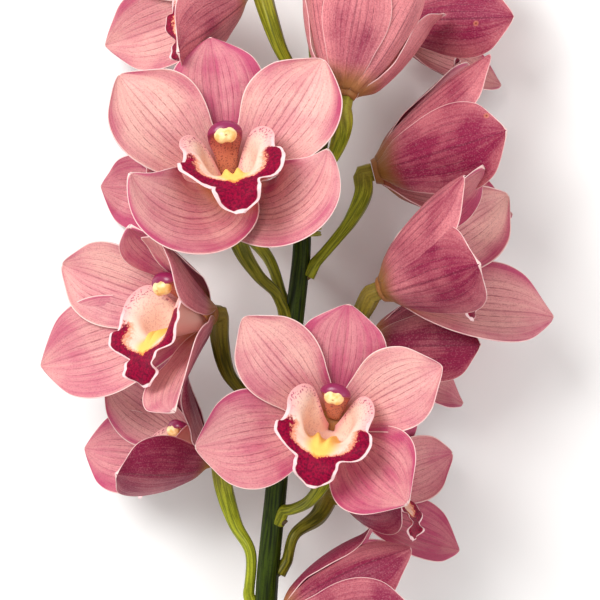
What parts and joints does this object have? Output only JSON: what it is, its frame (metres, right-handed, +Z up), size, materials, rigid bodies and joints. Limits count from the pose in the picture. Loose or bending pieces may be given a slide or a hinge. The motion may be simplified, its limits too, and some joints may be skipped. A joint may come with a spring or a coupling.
{
  "type": "cymbidium orchid stem",
  "caption": "Cut flowering stem of a pink cymbidium orchid with open waxy blooms, marked lips, pedicels and tip buds, lying on a surface.",
  "frame": {"origin": "middle of the bounding box at its lowest level, on the surface the stem lies on", "axes": "+Y along the stem from the cut end to the buds, +Z up, the side that the front blooms face"},
  "size_m": [0.2422, 0.6332, 0.1523],
  "materials": {
    "tepals": "waxy petal",
    "lip": "waxy petal with velvety mark",
    "column": "waxy, glossy",
    "pedicel": "fleshy green",
    "stem": "fleshy green, satin",
    "tie": "dry leaf fibre",
    "bud": "waxy petal"
  },
  "bodies": {
    "root": {"bloom_01_column": "column", "bloom_01_lip": "lip", "bloom_01_pedicel": "pedicel", "bloom_01_tepals": "tepals", "bloom_02_column": "column", "bloom_02_lip": "lip", "bloom_02_pedicel": "pedicel", "bloom_02_tepals": "tepals", "bloom_03_column": "column", "bloom_03_lip": "lip", "bloom_03_pedicel": "pedicel", "bloom_03_tepals": "tepals", "bloom_04_column": "column", "bloom_04_lip": "lip", "bloom_04_pedicel": "pedicel", "bloom_04_tepals": "tepals", "bloom_05_column": "column", "bloom_05_lip": "lip", "bloom_05_pedicel": "pedicel", "bloom_05_tepals": "tepals", "bloom_06_column": "column", "bloom_06_lip": "lip", "bloom_06_pedicel": "pedicel", "bloom_06_tepals": "tepals", "bloom_07_column": "column", "bloom_07_lip": "lip", "bloom_07_pedicel": "pedicel", "bloom_07_tepals": "tepals", "bloom_08_column": "column", "bloom_08_lip": "lip", "bloom_08_pedicel": "pedicel", "bloom_08_tepals": "tepals", "bloom_09_column": "column", "bloom_09_lip": "lip", "bloom_09_pedicel": "pedicel", "bloom_09_tepals": "tepals", "bloom_10_column": "column", "bloom_10_lip": "lip", "bloom_10_pedicel": "pedicel", "bloom_10_tepals": "tepals", "bloom_11_column": "column", "bloom_11_lip": "lip", "bloom_11_pedicel": "pedicel", "bloom_11_tepals": "tepals", "bloom_12_column": "column", "bloom_12_lip": "lip", "bloom_12_pedicel": "pedicel", "bloom_12_tepals": "tepals", "bloom_13_column": "column", "bloom_13_lip": "lip", "bloom_13_pedicel": "pedicel", "bloom_13_tepals": "tepals", "bud_01": "bud", "bud_02": "bud", "bud_03": "bud", "stem": "stem", "tie": "tie"}
  },
  "joints": []
}
